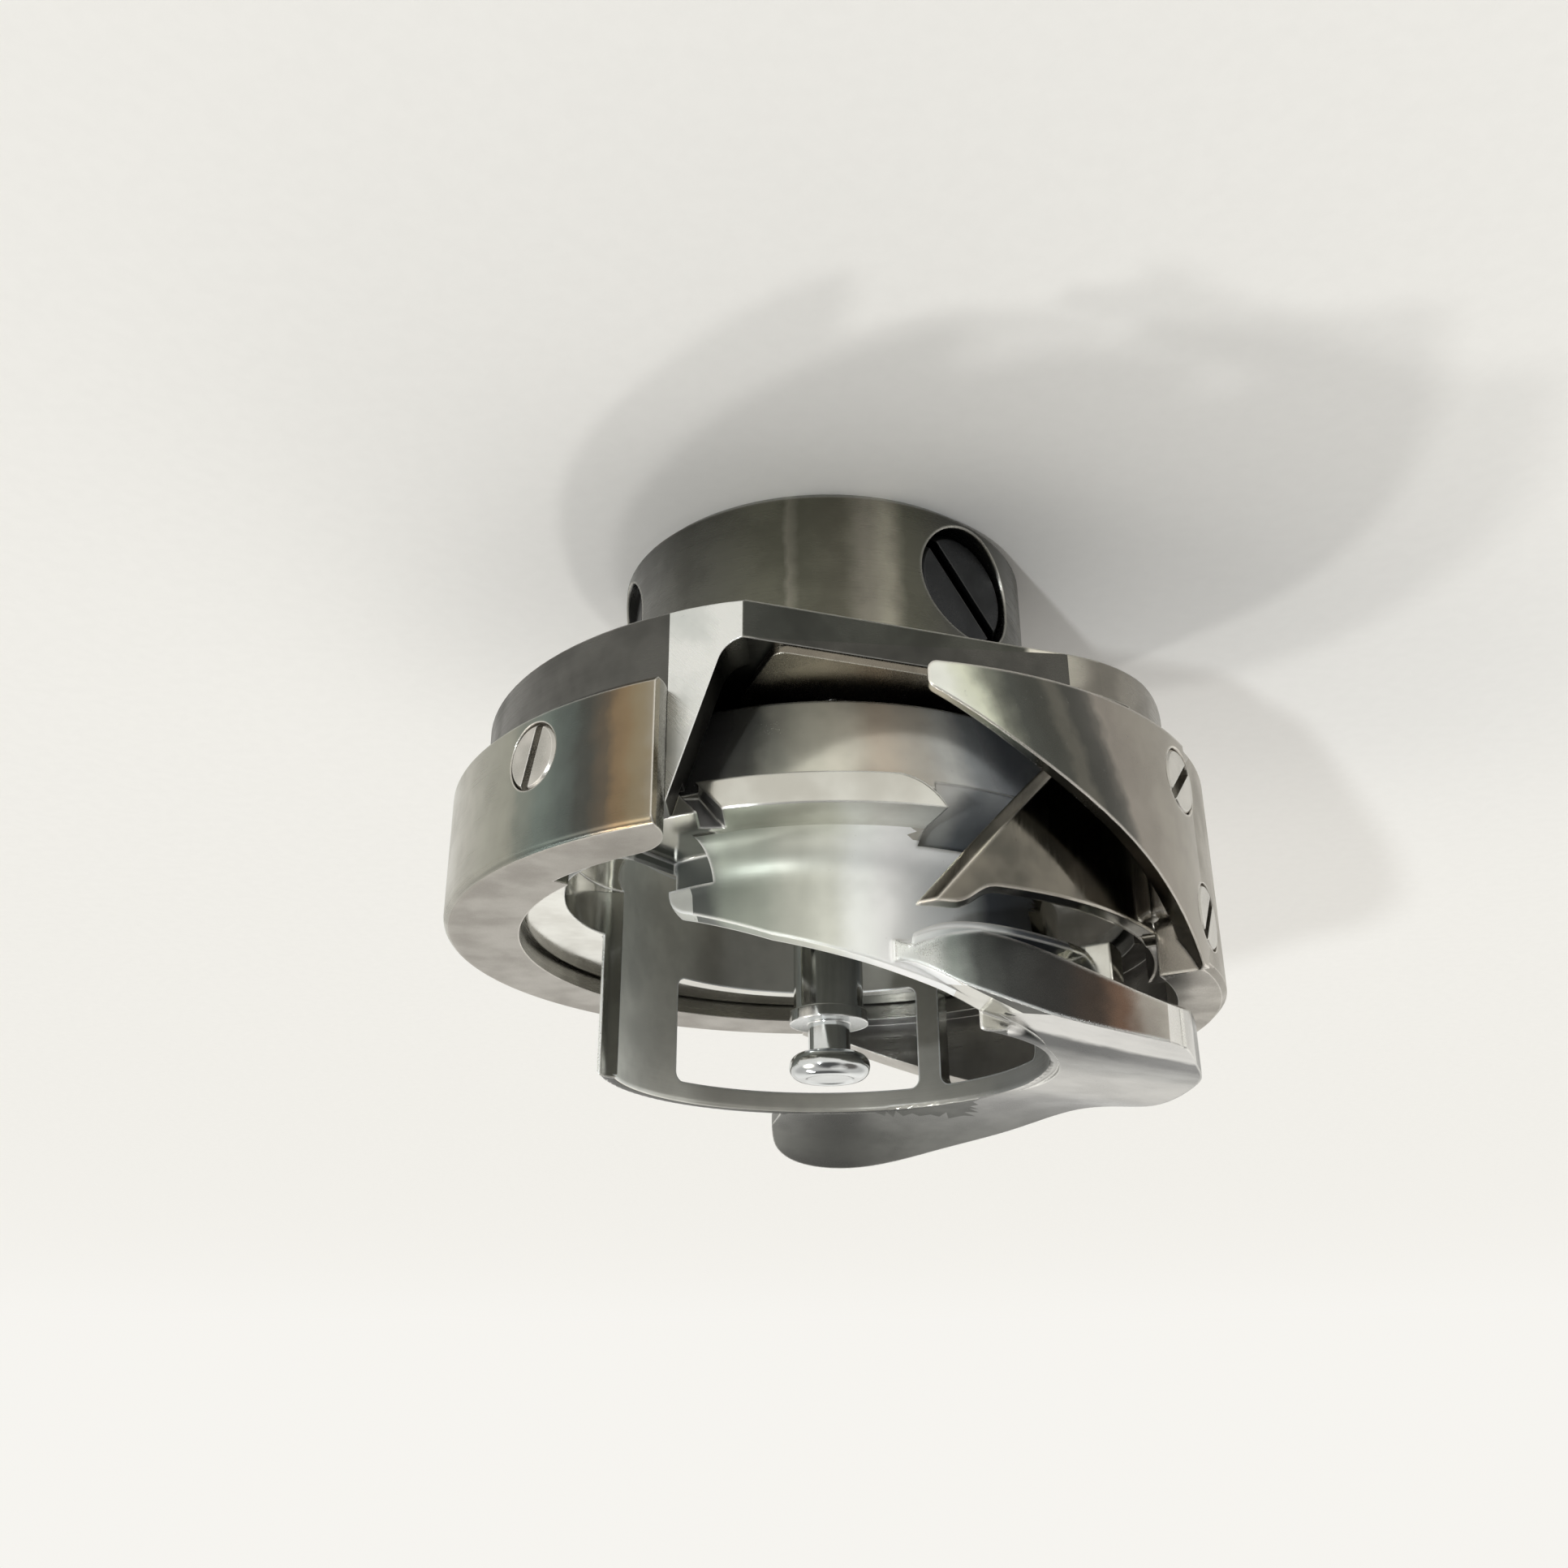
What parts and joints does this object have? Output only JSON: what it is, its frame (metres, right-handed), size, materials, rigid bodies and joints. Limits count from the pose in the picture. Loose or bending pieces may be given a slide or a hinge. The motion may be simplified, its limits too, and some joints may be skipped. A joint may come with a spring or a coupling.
{
  "type": "rotary sewing hook with basket",
  "caption": "Rotary lockstitch hook with clamping hub, gib, hook point, thread guard and a basket that turns freely in its race around a latch stud for the bobbin case.",
  "frame": {"origin": "centre of the hub's end face, on the axis of the hook shaft", "axes": "+Z along the hook shaft axis from the hub to the open front of the basket, -Y towards the needle side, where the flat and the hook point are"},
  "size_m": [0.044, 0.0434, 0.033],
  "materials": {
    "hook_steel": "hardened steel, ground, satin",
    "gib_steel": "hardened steel, polished",
    "guard_steel": "spring steel, polished",
    "screw_steel": "bright steel",
    "black_steel": "blackened steel, satin",
    "basket_chrome": "polished chrome plate, satin inside",
    "stud_chrome": "polished chrome plate"
  },
  "bodies": {
    "hook": {"hook_body": "hook_steel", "hook_gib": "gib_steel", "gib_screw_1": "screw_steel", "gib_screw_2": "screw_steel", "gib_screw_3": "screw_steel", "thread_guard": "guard_steel", "thread_guard_screw_1": "screw_steel", "thread_guard_screw_2": "screw_steel", "needle_guard": "guard_steel", "needle_guard_screw_1": "screw_steel", "needle_guard_screw_2": "screw_steel", "hub_set_screw_1": "black_steel", "hub_set_screw_2": "black_steel", "hub_set_screw_3": "black_steel"},
    "basket": {"basket": "basket_chrome", "latch_stud": "stud_chrome"}
  },
  "joints": [
    {"name": "basket_spin", "type": "hinge", "parent": "hook", "child": "basket", "pos_m": [0, 0, 0.0207], "axis": [0, 0, 1], "continuous": true}
  ]
}
